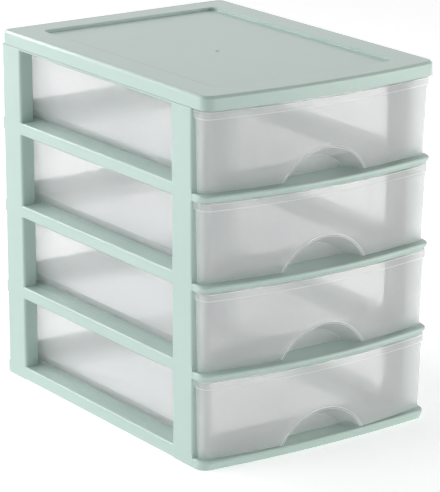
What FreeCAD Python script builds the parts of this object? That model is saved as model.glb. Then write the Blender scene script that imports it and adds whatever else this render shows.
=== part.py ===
import FreeCAD, Part
import math
import os

# Desktop chest of four small drawers, all in thin injection-moulded plastic.
# Two ladder-shaped side frames carry a base frame, three open shelf frames and a top
# cover, and four translucent drawers slide out between them towards the front.
# Millimetres. X runs left to right, the front faces -Y, and +Z is up. The origin is the
# centre of the whole outline on the surface that the chest stands on.

# Overall sizes
width = 192.0
height = 260.0
frame_depth = 243.0
drawer_count = 4

# Walls and fits of the housing
wall = 2.0
fit = 0.2
overrun = 5.0
front_corner_radius = 8.5

# Side frames
side_depth = 10.4
post_width = 24.5
post_edge_radius = 2.0
rail_edge_chamfer = 0.7
base_rail_height = 9.5
rail_height = 9.0
top_rail_height = 9.9

# Shelf frames and base frame. An overhang is how far a front edge stands before the posts
# at its ends, and a bow how much further it comes forward in the middle.
shelf_overhang = 13.5
shelf_bow = 11.0
shelf_toe = 3.0
base_overhang = 13.0
base_bow = 5.5
base_toe = 2.5
ledge_width = 16.0
front_bar_depth = 28.0
rear_bar_depth = 20.0
bar_step = 2.7
bar_rise = 1.0
lip_chamfer = 0.8
brow_height = 1.8
tongue_depth = 5.0
stop_height = 10.0
bar_rib_count = 3
rib_thickness = 1.4

# Top cover
cover_overhang = 15.8
cover_bow = 7.4
cover_skirt_height = 10.0
cover_chamfer = 1.6
cover_back_radius = 5.0
panel_border = 21.5
panel_front_border = 2.0
panel_recess = 2.0
panel_corner_radius = 5.0
cover_rib_height = 4.0
cover_rib_count = 3
gate_x = -5.0
gate_y = -8.0
gate_radius = 1.4
gate_depth = 0.3

# Drawers
drawer_wall = 1.4
floor_thickness = 1.4
rim_height = 5.0
rim_step = 0.9
top_clearance = 0.5
side_clearance = 0.8
front_clearance = 0.3
back_clearance = 3.0
side_draft = 1.2
back_draft = 1.2
foot_in = 2.4
foot_height = 7.0
skid_height = 1.0
skid_width = 3.0
skid_inset = 6.0
drawer_bow = 9.5
front_setback = 0.5
front_lean = 3.2
front_drop = 1.6
flange_inset = 1.3
shoulder_draft = 2.2
drawer_front_radius = 7.0
drawer_back_radius = 7.0

# Finger scoop at the foot of each drawer's front
scoop_half_width = 34.5
scoop_height = 19.5
scoop_back_height = 11.5
scoop_back_gap = 4.5
scoop_wall = 1.6
scoop_bead = 0.7

# Places that follow from the sizes above
half_width = width / 2
inner_half = half_width - side_depth
reach = max(cover_overhang + cover_bow, shelf_overhang + shelf_bow, base_overhang + base_bow)
back_y = (frame_depth + reach) / 2
post_front_y = back_y - frame_depth
frame_top = height - wall
cover_bottom = height - cover_skirt_height
stack_height = frame_top - base_rail_height - top_rail_height
window_height = (stack_height - (drawer_count - 1) * rail_height) / drawer_count
level_pitch = window_height + rail_height
drawer_height = window_height + bar_rise - top_clearance + front_drop
tiny = 0.001


def point(x, y, z):
    return FreeCAD.Vector(x, y, z)


def box(x_limits, y_limits, z_limits):
    """Block between two limits on each axis, given in either order."""
    x_low, x_high = sorted(x_limits)
    y_low, y_high = sorted(y_limits)
    z_low, z_high = sorted(z_limits)
    return Part.makeBox(x_high - x_low, y_high - y_low, z_high - z_low, point(x_low, y_low, z_low))


def line(start, end):
    return Part.LineSegment(start, end).toShape()


def arc(start, middle, end):
    return Part.Arc(start, middle, end).toShape()


def loft(wires):
    """Solid through a stack of outlines, with straight sides between them."""
    return Part.makeLoft(wires, True, True)


def extrude(wire, z_end, y_shift=0):
    """Solid from a flat outline up or down to a height, with its end shifted along Y."""
    return Part.Face(wire).extrude(point(0, y_shift, z_end - wire.Vertexes[0].Z))


def chamfer_level(solid, z, size, y_limit):
    """Chamfer the edges that lie wholly at one height and start before a limit."""
    flat = [edge for edge in solid.Edges
            if abs(edge.BoundBox.ZMin - z) < tiny and abs(edge.BoundBox.ZMax - z) < tiny
            and edge.BoundBox.YMin < y_limit - tiny]
    return solid.makeChamfer(size, flat)


def round_upright(solid, radius, x_limit):
    """Round the upright edges that lie no further to the right than a limit."""
    upright = [edge for edge in solid.Edges
               if edge.BoundBox.ZLength > tiny and edge.BoundBox.XMax < x_limit + tiny]
    return solid.makeFillet(radius, upright)


def level_top(level):
    """Running surface of the rails at a level: 0 is the base, drawer_count the cover."""
    return base_rail_height + level * level_pitch


def level_bottom(level):
    """Underside of the rails at a level."""
    return level_top(level) - rail_height if level > 0 else 0


def plan_wire(half, y_back, back_radius, y_side, bow, front_radius, z):
    """Closed outline in plan with straight sides, a bowed front and rounded corners.

    y_side is where the bow would meet the sides if its corners were sharp. Each front corner
    is an arc that is tangent to its side and to the bow.
    """
    bow_radius = (half ** 2 + bow ** 2) / (2 * bow)
    bow_centre = y_side - bow + bow_radius
    corner_x = half - front_radius
    corner_y = bow_centre - math.sqrt((bow_radius - front_radius) ** 2 - corner_x ** 2)
    turn = math.atan2(corner_y - bow_centre, corner_x)
    joint_x = bow_radius * math.cos(turn)
    joint_y = bow_centre + bow_radius * math.sin(turn)
    middle_x = corner_x + front_radius * math.cos(turn / 2)
    middle_y = corner_y + front_radius * math.sin(turn / 2)
    edges = [line(point(half, y_back - back_radius, z), point(half, corner_y, z)),
             arc(point(half, corner_y, z), point(middle_x, middle_y, z),
                 point(joint_x, joint_y, z)),
             arc(point(joint_x, joint_y, z), point(0, y_side - bow, z),
                 point(-joint_x, joint_y, z)),
             arc(point(-joint_x, joint_y, z), point(-middle_x, middle_y, z),
                 point(-half, corner_y, z)),
             line(point(-half, corner_y, z), point(-half, y_back - back_radius, z))]
    if back_radius > 0:
        cut = back_radius * (1 - math.cos(math.pi / 4))
        edges.append(arc(point(-half, y_back - back_radius, z),
                         point(-half + cut, y_back - cut, z),
                         point(-half + back_radius, y_back, z)))
    edges.append(line(point(-half + back_radius, y_back, z), point(half - back_radius, y_back, z)))
    if back_radius > 0:
        edges.append(arc(point(half - back_radius, y_back, z),
                         point(half - cut, y_back - cut, z),
                         point(half, y_back - back_radius, z)))
    return Part.Wire(edges)


def rounded_panel(half, y_limits, z_limits, radius):
    """Flat block with rounded upright edges."""
    return round_upright(box((-half, half), y_limits, z_limits), radius, half)


def cover_outline(inset, z):
    """Outline of the top cover in plan, or of what fits inside it."""
    return plan_wire(half_width - inset, back_y - inset, max(cover_back_radius - inset, 0),
                     post_front_y - cover_overhang + inset, cover_bow,
                     front_corner_radius - inset, z)


# Side frames

def make_side_frame():
    """Left ladder: two channel posts joined by a rail at every level, open to the inside."""
    outer = -half_width
    inner = outer + side_depth
    posts = []
    for y_low in (post_front_y, back_y - post_width):
        post = box((outer, inner), (y_low, y_low + post_width), (0, frame_top))
        posts.append(round_upright(post, post_edge_radius, outer))
    rails = []
    for level in range(drawer_count + 1):
        z_high = level_top(level) if level < drawer_count else frame_top
        rail = box((outer, inner), (post_front_y, back_y), (level_bottom(level), z_high))
        long_edges = [edge for edge in rail.Edges
                      if edge.BoundBox.YLength > tiny and edge.BoundBox.XMax < outer + tiny]
        rails.append(rail.makeChamfer(rail_edge_chamfer, long_edges))
    shape = posts[0].fuse(posts[1:] + rails).removeSplitter()
    rebate = box((outer - overrun, inner + overrun), (post_front_y - overrun, back_y + overrun),
                 (cover_bottom - fit, height))
    rebate = rebate.cut(extrude(cover_outline(wall + fit, cover_bottom - fit), height))
    return shape.cut([rebate] + side_hollows(outer + wall, inner)).removeSplitter()


def side_hollows(x_skin, x_inner):
    """Hollows behind the outer skin: one in each post between rails, and one along each rail."""
    hollows = []
    for tier in range(drawer_count):
        for y_low in (post_front_y, back_y - post_width):
            hollows.append(box((x_skin, x_inner), (y_low + wall, y_low + post_width - wall),
                               (level_top(tier), level_bottom(tier + 1))))
        hollows.append(box((x_skin, x_inner), (post_front_y + wall, back_y - wall),
                           (level_bottom(tier) + wall, level_top(tier) - wall)))
    step = wall + fit
    hollows.append(box((x_skin + step, x_inner), (post_front_y + wall, back_y - step - wall),
                       (level_bottom(drawer_count) + wall, frame_top - wall)))
    return hollows


# Shelf frames and base frame

def nose_block(overhang, bow, toe, z_low, z_high, inset):
    """Front edge over the full width: an upright brow, and a face that slopes back below it."""
    z_brow = z_high - brow_height
    plan = plan_wire(half_width - inset, post_front_y - inset, 0, post_front_y - overhang + inset,
                     bow, front_corner_radius - inset, z_brow)
    below = extrude(plan, z_low, toe).common(box((-half_width, half_width),
                                                 (-back_y - overrun, post_front_y - inset),
                                                 (z_low, z_brow)))
    return extrude(plan, z_high).fuse(below)


def make_level_frame(level, overhang, bow, toe):
    """Open frame at a level: bowed front bar, two ledges, rear bar with a stop, and tongues."""
    z_low = level_bottom(level) + (bar_rise if level > 0 else 0)
    z_ledge = level_top(level)
    z_bar = z_ledge - bar_step
    ledge_inner = inner_half - ledge_width
    bar_back = post_front_y + front_bar_depth
    rear_front = back_y - rear_bar_depth
    sides = (-1, 1)

    nose = nose_block(overhang, bow, toe, z_low, z_bar, 0)
    nose = chamfer_level(nose, z_bar, lip_chamfer, post_front_y)
    across = (-inner_half, inner_half)
    blocks = [box(across, (post_front_y, bar_back), (z_low, z_bar)),
              box(across, (rear_front, back_y), (z_low, z_bar)),
              box(across, (back_y - wall, back_y), (z_low, z_ledge + stop_height))]
    blocks += [box((side * ledge_inner, side * inner_half), (post_front_y, back_y),
                   (z_low, z_ledge)) for side in sides]
    shape = nose.fuse(blocks)

    z_under = z_low - overrun
    between = (-ledge_inner + wall, ledge_inner - wall)
    hollows = [nose_block(overhang, bow, toe, z_low, z_bar - wall, wall),
               box(between, (post_front_y + wall, bar_back - wall), (z_under, z_bar - wall)),
               box(between, (rear_front + wall, back_y - wall), (z_under, z_bar - wall))]
    hollows += [box((side * (ledge_inner + wall), side * (inner_half - wall)),
                    (post_front_y + wall, back_y - wall), (z_under, z_ledge - wall))
                for side in sides]
    shape = shape.cut(hollows)

    spacing = 2 * ledge_inner / (bar_rib_count + 1)
    ribs = [box((place - rib_thickness / 2, place + rib_thickness / 2),
                (post_front_y + wall, bar_back - wall), (z_low, z_bar - wall))
            for place in [spacing * (index + 1) - ledge_inner for index in range(bar_rib_count)]]
    tongues = [box((side * inner_half, side * (inner_half + tongue_depth)),
                   (post_front_y + post_width, back_y - post_width),
                   (level_bottom(level) + wall, z_ledge - wall - fit)) for side in sides]
    return shape.fuse(ribs + tongues).removeSplitter()


# Top cover

def make_cover():
    """Cap with a bowed front, a skirt all round, a shallow sunk panel and ribs beneath it.

    A small dimple on the panel marks where the plastic came into the mould.
    """
    shell = extrude(cover_outline(0, cover_bottom), height)
    shell = chamfer_level(shell, height, cover_chamfer, height)
    hollow = extrude(cover_outline(wall, cover_bottom - overrun), frame_top)
    panel_half = half_width - panel_border
    panel_front = post_front_y + panel_front_border
    panel_back = back_y - panel_border
    z_panel = frame_top - panel_recess
    sunk = rounded_panel(panel_half, (panel_front, panel_back),
                         (height - panel_recess, height + overrun), panel_corner_radius)
    skin = rounded_panel(panel_half + wall, (panel_front - wall, panel_back + wall),
                         (z_panel, frame_top), panel_corner_radius + wall)
    gate_mark = Part.makeCylinder(gate_radius, gate_depth + overrun,
                                  point(gate_x, gate_y, height - panel_recess - gate_depth))
    shell = shell.cut([hollow.cut(skin), sunk, gate_mark])
    spacing = 2 * panel_half / (cover_rib_count + 1)
    ribs = [box((place - rib_thickness / 2, place + rib_thickness / 2),
                (panel_front, panel_back), (z_panel - cover_rib_height, z_panel))
            for place in [spacing * (index + 1) - panel_half for index in range(cover_rib_count)]]
    return shell.fuse(ribs).removeSplitter()


# Drawers

def front_block(z_low, z_high, drawer_top, inset):
    """Solid of a drawer's wide front, carried back past the shoulders. It leans back downwards."""
    y_side = post_front_y - shelf_overhang + front_setback + rim_step
    plan = plan_wire(half_width - flange_inset - rim_step - inset, back_y + 2 * overrun, 0,
                     y_side + inset, drawer_bow, drawer_front_radius - inset, drawer_top + overrun)
    hinge = point(0, y_side - drawer_bow, drawer_top)
    upright = extrude(plan, drawer_top - 2 * drawer_height)
    leaning = upright.rotated(hinge, point(1, 0, 0),
                              math.degrees(math.atan(front_lean / drawer_height)))
    return leaning.common(box((-half_width, half_width), (-back_y - overrun, back_y),
                              (z_low, z_high)))


def shoulder_block(z_low, z_high, drawer_top, inset):
    """All that lies before a drawer's shoulders, which draw back from the posts downwards."""
    y_top = post_front_y - front_clearance - rim_step - inset
    draw_share = shoulder_draft / drawer_height
    y_before = -back_y - overrun
    profile = Part.makePolygon([point(-half_width, y_before, z_low),
                                point(-half_width, y_top - draw_share * (drawer_top - z_low), z_low),
                                point(-half_width, y_top - draw_share * (drawer_top - z_high), z_high),
                                point(-half_width, y_before, z_high),
                                point(-half_width, y_before, z_low)])
    return Part.Face(profile).extrude(point(width, 0, 0))


def body_outline(z, drawer_top, inset, foot):
    """Outline of a drawer's narrow body at one height, carried forward past the front."""
    down = (drawer_top - z) / drawer_height
    return plan_wire(inner_half - side_clearance - rim_step - side_draft * down - inset - foot,
                     back_y - back_clearance - rim_step - back_draft * down - inset - foot,
                     drawer_back_radius - inset, post_front_y - shelf_overhang - overrun,
                     drawer_bow, drawer_front_radius, z)


def drawer_block(z_low, z_foot, drawer_top, inset):
    """Solid of a drawer's form: a wide front before the posts and a body between them."""
    levels = [(z_low, 0), (drawer_top, 0)]
    if z_foot > z_low:
        levels = [(z_low, foot_in), (z_foot, 0), (drawer_top, 0)]
    outlines = [body_outline(z, drawer_top, inset, foot) for z, foot in levels]
    body = loft(outlines[:2])
    if len(outlines) > 2:
        body = body.fuse(loft(outlines[1:]))
    form = body.fuse(shoulder_block(z_low, drawer_top, drawer_top, inset))
    return form.common(front_block(z_low, drawer_top, drawer_top, inset))


def scoop_block(grow, y_front, y_back, z_foot):
    """Round-roofed pocket that narrows towards its back, larger all round by grow."""
    y_face = post_front_y - shelf_overhang - drawer_bow + front_lean
    y_wall = post_front_y - scoop_back_gap
    radius = (scoop_half_width ** 2 + scoop_height ** 2) / (2 * scoop_height)
    narrow_share = (scoop_height - scoop_back_height) / (y_wall - y_face)
    ends = [radius + grow - narrow_share * (y - y_face) for y in (y_front, y_back)]
    return Part.makeCone(ends[0], ends[1], y_back - y_front,
                         point(0, y_front, z_foot + scoop_height - radius), point(0, 1, 0))


def make_drawer():
    """One-piece drawer in the lowest place."""
    z_run = level_top(0)
    z_floor = z_run + skid_height
    z_foot = z_floor + foot_height
    z_top = level_bottom(1) + bar_rise - top_clearance
    z_skirt = z_top - drawer_height
    outside = drawer_block(z_floor, z_foot, z_top, 0)
    skirt = front_block(z_skirt, z_floor, z_top, 0)
    skirt = skirt.common(shoulder_block(z_skirt, z_floor, z_top, 0))
    under = front_block(z_skirt, z_floor, z_top, drawer_wall)
    rim = drawer_block(z_top - rim_height, z_top - rim_height, z_top, -rim_step)
    inside = drawer_block(z_floor + floor_thickness, z_foot, z_top, drawer_wall)

    y_back = post_front_y - scoop_back_gap
    y_front = -back_y - overrun
    pocket = scoop_block(0, y_front, y_back, z_skirt)
    pocket_wall = scoop_block(scoop_wall, y_front, y_back + scoop_wall, z_skirt)
    beyond = front_block(z_skirt, z_top, z_top, -scoop_bead)
    shape = outside.fuse([skirt, rim]).cut([inside, under])
    shape = shape.fuse(pocket_wall.common(beyond)).cut(pocket)

    skid_x = inner_half - side_clearance - rim_step - side_draft - skid_inset
    skid_back = back_y - back_clearance - back_draft - foot_in - drawer_back_radius
    skids = [box((side * skid_x - skid_width / 2, side * skid_x + skid_width / 2),
                 (post_front_y, skid_back), (z_run, z_floor)) for side in (-1, 1)]
    return shape.fuse(skids).removeSplitter()


def raised(shape, steps):
    """Copy of a piece, so many levels higher."""
    return shape.translated(point(0, 0, steps * level_pitch))


def build():
    """All pieces by name, numbered from the top."""
    left = make_side_frame()
    pieces = {"top_cover": make_cover(),
              "left_side_frame": left,
              "right_side_frame": left.mirror(point(0, 0, 0), point(1, 0, 0)),
              "base_frame": make_level_frame(0, base_overhang, base_bow, base_toe)}
    shelf = make_level_frame(1, shelf_overhang, shelf_bow, shelf_toe)
    for step in range(drawer_count - 1):
        pieces["shelf_frame_" + str(drawer_count - 1 - step)] = raised(shelf, step)
    drawer = make_drawer()
    for step in range(drawer_count):
        pieces["drawer_" + str(drawer_count - step)] = raised(drawer, step)
    return pieces


if __name__ == "__main__":
    os.makedirs("parts", exist_ok=True)
    for name, shape in build().items():
        print(name, "solids", len(shape.Solids), "valid", shape.isValid(),
              "volume", round(shape.Volume))
        shape.exportStep("parts/" + name + ".step")
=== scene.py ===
import math

import bpy
from mathutils import Matrix, Vector

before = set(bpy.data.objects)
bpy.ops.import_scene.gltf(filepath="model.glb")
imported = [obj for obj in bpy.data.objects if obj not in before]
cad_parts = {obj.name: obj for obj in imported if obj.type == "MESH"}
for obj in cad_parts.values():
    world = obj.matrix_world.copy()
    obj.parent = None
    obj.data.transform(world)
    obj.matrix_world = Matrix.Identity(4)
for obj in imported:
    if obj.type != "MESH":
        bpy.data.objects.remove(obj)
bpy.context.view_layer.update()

# Looks of a desktop chest of four drawers: a mint green housing in smooth plastic, with
# frosted translucent drawers. Metres. The front faces -Y and +Z is up.
MM = 0.001
HOUSING = ["top_cover", "left_side_frame", "right_side_frame", "base_frame",
           "shelf_frame_1", "shelf_frame_2", "shelf_frame_3"]
DRAWERS = ["drawer_1", "drawer_2", "drawer_3", "drawer_4"]
SMOOTH_ANGLE = math.radians(30)

# The darker and the paler tone of each surface.
MINT = ((0.468, 0.605, 0.552), (0.488, 0.625, 0.572))
FROST = ((0.94, 0.945, 0.955), (0.96, 0.965, 0.975))
WHITE_PAINT = ((0.86, 0.86, 0.86), (0.88, 0.88, 0.88))

# The cosine between the rounded normal and the face's own: at or under the first it is an
# edge, and at or over the second it is open surface.
EDGE_COSINE = 0.80
OPEN_COSINE = 0.985
EDGE_SAMPLES = 6

# How solid the drawers look, and how much of that is clear rather than milky.
EDGE_OPACITY = 0.95
OPEN_OPACITY = 0.36
EDGE_CLARITY = 0.0
OPEN_CLARITY = 0.45

# The studio's light is strongest from this side, behind and a little to the left, and weak
# from above.
BRIGHT_SIDE = (-0.35, 0.95, -0.30)
DIM_END = -0.65
DIM_STRENGTH = 0.04
BRIGHT_STRENGTH = 1.0

FLOOR_SIZE = 6.0
FLOOR_DROP = 0.2 * MM
FLOOR_GLOW_AS_LIGHT = 0.36
FLOOR_GLOW_AS_SEEN = 0.46

IMAGE_LONG_SIDE = 492
SENSOR = 36.0
FOCAL_PIXELS = 2733.6
CAMERA_PLACE = (-1067.5, -1541.9, 669.0)
CAMERA_AZIMUTH = math.radians(-34.76)
CAMERA_ELEVATION = math.radians(16.50)
CAMERA_REACH = 20.0
CHEST_MIDDLE = (0.0, 0.0, 0.13)


def new_material(name):
    """Node material, with its nodes, links and shader."""
    material = bpy.data.materials.new(name)
    material.use_nodes = True
    nodes = material.node_tree.nodes
    return material, nodes, material.node_tree.links, nodes["Principled BSDF"]


def object_noise(nodes, links, scale, detail):
    """Noise in the object's own space."""
    coords = nodes.new("ShaderNodeTexCoord")
    noise = nodes.new("ShaderNodeTexNoise")
    noise.inputs["Scale"].default_value = scale
    noise.inputs["Detail"].default_value = detail
    links.new(coords.outputs["Object"], noise.inputs["Vector"])
    return noise.outputs["Fac"]


def spread(nodes, links, factor, low, high):
    """Maps a 0 to 1 value on to a range."""
    span = nodes.new("ShaderNodeMapRange")
    span.inputs["To Min"].default_value = low
    span.inputs["To Max"].default_value = high
    links.new(factor, span.inputs["Value"])
    return span.outputs["Result"]


def two_tone(nodes, links, factor, tones):
    """Colour that varies between two tones over the middle of a factor's range."""
    ramp = nodes.new("ShaderNodeValToRGB")
    for stop, position, tone in zip(ramp.color_ramp.elements, (0.3, 0.7), tones):
        stop.position = position
        stop.color = (*tone, 1)
    links.new(factor, ramp.inputs["Fac"])
    return ramp.outputs["Color"]


def soft_edge_normal(nodes, radius):
    """Normal of the surface as if its edges were rounded by a small radius."""
    rounded = nodes.new("ShaderNodeBevel")
    rounded.samples = EDGE_SAMPLES
    rounded.inputs["Radius"].default_value = radius
    return rounded.outputs["Normal"]


def flatness(nodes, links, radius):
    """0 along an edge of the solid, 1 on the open surface."""
    geometry = nodes.new("ShaderNodeNewGeometry")
    turn = nodes.new("ShaderNodeVectorMath")
    turn.operation = "DOT_PRODUCT"
    links.new(soft_edge_normal(nodes, radius), turn.inputs[0])
    links.new(geometry.outputs["True Normal"], turn.inputs[1])
    share = nodes.new("ShaderNodeMapRange")
    share.inputs["From Min"].default_value = EDGE_COSINE
    share.inputs["From Max"].default_value = OPEN_COSINE
    links.new(turn.outputs["Value"], share.inputs["Value"])
    return share.outputs["Result"]


def add_relief(nodes, links, shader, factor, strength, depth, edge_radius):
    """Fine relief, over edges that look rounded by a small radius."""
    bump = nodes.new("ShaderNodeBump")
    bump.inputs["Strength"].default_value = strength
    bump.inputs["Distance"].default_value = depth
    links.new(factor, bump.inputs["Height"])
    links.new(soft_edge_normal(nodes, edge_radius), bump.inputs["Normal"])
    links.new(bump.outputs["Normal"], shader.inputs["Normal"])


def housing_plastic():
    """Mint polypropylene: even colour with faint flow marks, and a smooth satin skin."""
    material, nodes, links, shader = new_material("housing_plastic")
    flow = object_noise(nodes, links, scale=9.0, detail=3.0)
    links.new(two_tone(nodes, links, flow, MINT), shader.inputs["Base Color"])
    skin = object_noise(nodes, links, scale=60.0, detail=4.0)
    links.new(spread(nodes, links, skin, low=0.20, high=0.26), shader.inputs["Roughness"])
    fine = object_noise(nodes, links, scale=900.0, detail=2.0)
    add_relief(nodes, links, shader, fine, strength=0.06, depth=0.05 * MM, edge_radius=1.1 * MM)
    return material


def drawer_plastic():
    """Frosted translucent polypropylene: partly seen through, and whiter along its edges."""
    material, nodes, links, shader = new_material("drawer_plastic")
    haze = object_noise(nodes, links, scale=14.0, detail=3.0)
    links.new(two_tone(nodes, links, haze, FROST), shader.inputs["Base Color"])
    frost = object_noise(nodes, links, scale=45.0, detail=4.0)
    links.new(spread(nodes, links, frost, low=0.30, high=0.34), shader.inputs["Roughness"])
    flat = flatness(nodes, links, radius=0.8 * MM)
    links.new(spread(nodes, links, flat, EDGE_OPACITY, OPEN_OPACITY), shader.inputs["Alpha"])
    clear = spread(nodes, links, flat, EDGE_CLARITY, OPEN_CLARITY)
    links.new(clear, shader.inputs["Transmission Weight"])
    shader.inputs["IOR"].default_value = 1.4
    shader.inputs["Subsurface Weight"].default_value = 1.0
    shader.inputs["Subsurface Radius"].default_value = (1.0, 1.0, 1.0)
    shader.inputs["Subsurface Scale"].default_value = 4 * MM
    fine = object_noise(nodes, links, scale=700.0, detail=2.0)
    add_relief(nodes, links, shader, fine, strength=0.05, depth=0.05 * MM, edge_radius=0.4 * MM)
    return material


def dress(names, material):
    """Gives CAD nodes their material and smooth shading across gentle angles."""
    for name in names:
        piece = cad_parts[name]
        piece.data.materials.clear()
        piece.data.materials.append(material)
        for face in piece.data.polygons:
            face.use_smooth = True
        crisp = piece.modifiers.new("crisp_edges", "EDGE_SPLIT")
        crisp.split_angle = SMOOTH_ANGLE


def seen_directly(nodes, links):
    """1 for rays that should meet the plain background: camera, glossy and transmission."""
    path = nodes.new("ShaderNodeLightPath")
    total = path.outputs["Is Camera Ray"]
    for name in ("Is Glossy Ray", "Is Transmission Ray"):
        add = nodes.new("ShaderNodeMath")
        add.operation = "ADD"
        add.use_clamp = True
        links.new(total, add.inputs[0])
        links.new(path.outputs[name], add.inputs[1])
        total = add.outputs["Value"]
    return total


def build_world():
    """White to look at. As a light it is a studio, bright behind the chest and dim before it."""
    world = bpy.data.worlds.new("studio")
    bpy.context.scene.world = world
    world.use_nodes = True
    nodes, links = world.node_tree.nodes, world.node_tree.links
    background = nodes["Background"]
    background.inputs["Color"].default_value = (1, 1, 1, 1)
    direction = nodes.new("ShaderNodeTexCoord")
    side = nodes.new("ShaderNodeVectorMath")
    side.operation = "DOT_PRODUCT"
    side.inputs[1].default_value = BRIGHT_SIDE
    links.new(direction.outputs["Generated"], side.inputs[0])
    around = nodes.new("ShaderNodeMapRange")
    around.inputs["From Min"].default_value = DIM_END
    around.inputs["To Min"].default_value = DIM_STRENGTH
    around.inputs["To Max"].default_value = BRIGHT_STRENGTH
    links.new(side.outputs["Value"], around.inputs["Value"])
    strength = nodes.new("ShaderNodeMapRange")
    links.new(around.outputs["Result"], strength.inputs["To Min"])
    links.new(seen_directly(nodes, links), strength.inputs["Value"])
    links.new(strength.outputs["Result"], background.inputs["Strength"])


def build_floor():
    """White floor that keeps the chest's shadow, a hair under the chest's foot."""
    bpy.ops.mesh.primitive_plane_add(size=FLOOR_SIZE, location=(0, 0, -FLOOR_DROP))
    floor = bpy.context.object
    floor.name = "floor"
    material, nodes, links, shader = new_material("floor_paint")
    grain = object_noise(nodes, links, scale=30.0, detail=3.0)
    links.new(two_tone(nodes, links, grain, WHITE_PAINT), shader.inputs["Base Color"])
    shader.inputs["Roughness"].default_value = 0.7
    shader.inputs["Emission Color"].default_value = (1, 1, 1, 1)
    seen = seen_directly(nodes, links)
    glow = spread(nodes, links, seen, FLOOR_GLOW_AS_LIGHT, FLOOR_GLOW_AS_SEEN)
    links.new(glow, shader.inputs["Emission Strength"])
    floor.data.materials.append(material)


def add_lamp(name, place, size, power, colour=(1, 1, 1)):
    """Rectangular soft box that faces the middle of the chest."""
    light = bpy.data.lights.new(name, "AREA")
    light.shape = "RECTANGLE"
    light.size, light.size_y = size
    light.energy = power
    light.color = colour
    lamp = bpy.data.objects.new(name, light)
    lamp.location = place
    aim = Vector(CHEST_MIDDLE) - Vector(place)
    lamp.rotation_euler = aim.to_track_quat("-Z", "Y").to_euler()
    bpy.context.scene.collection.objects.link(lamp)


def build_lights():
    """Soft boxes on the left and the front right, and a narrow one behind left for the edges."""
    add_lamp("key_left", place=(-1.70, 0.55, 0.95), size=(1.2, 0.9), power=12, colour=(0.95, 0.975, 1.0))
    add_lamp("fill_right", place=(1.40, -1.40, 0.50), size=(1.2, 0.9), power=24, colour=(1.0, 0.99, 0.98))
    add_lamp("edge_left", place=(-0.70, 1.50, 0.95), size=(0.9, 0.4), power=11)


def build_camera():
    """Long lens from the front left and above, as the photograph is taken."""
    level = math.cos(CAMERA_ELEVATION)
    back = Vector((math.sin(CAMERA_AZIMUTH) * level, -math.cos(CAMERA_AZIMUTH) * level,
                   math.sin(CAMERA_ELEVATION)))
    right = Vector((math.cos(CAMERA_AZIMUTH), math.sin(CAMERA_AZIMUTH), 0))
    up = back.cross(right)
    lens = bpy.data.cameras.new("camera")
    lens.sensor_width = SENSOR
    lens.lens = FOCAL_PIXELS * SENSOR / IMAGE_LONG_SIDE
    lens.clip_end = CAMERA_REACH
    camera = bpy.data.objects.new("camera", lens)
    camera.matrix_world = Matrix((right, up, back)).transposed().to_4x4()
    camera.location = Vector(CAMERA_PLACE) * MM
    bpy.context.scene.collection.objects.link(camera)
    bpy.context.scene.camera = camera


dress(HOUSING, housing_plastic())
dress(DRAWERS, drawer_plastic())
build_world()
build_floor()
build_lights()
build_camera()
bpy.context.scene.view_settings.view_transform = "Standard"
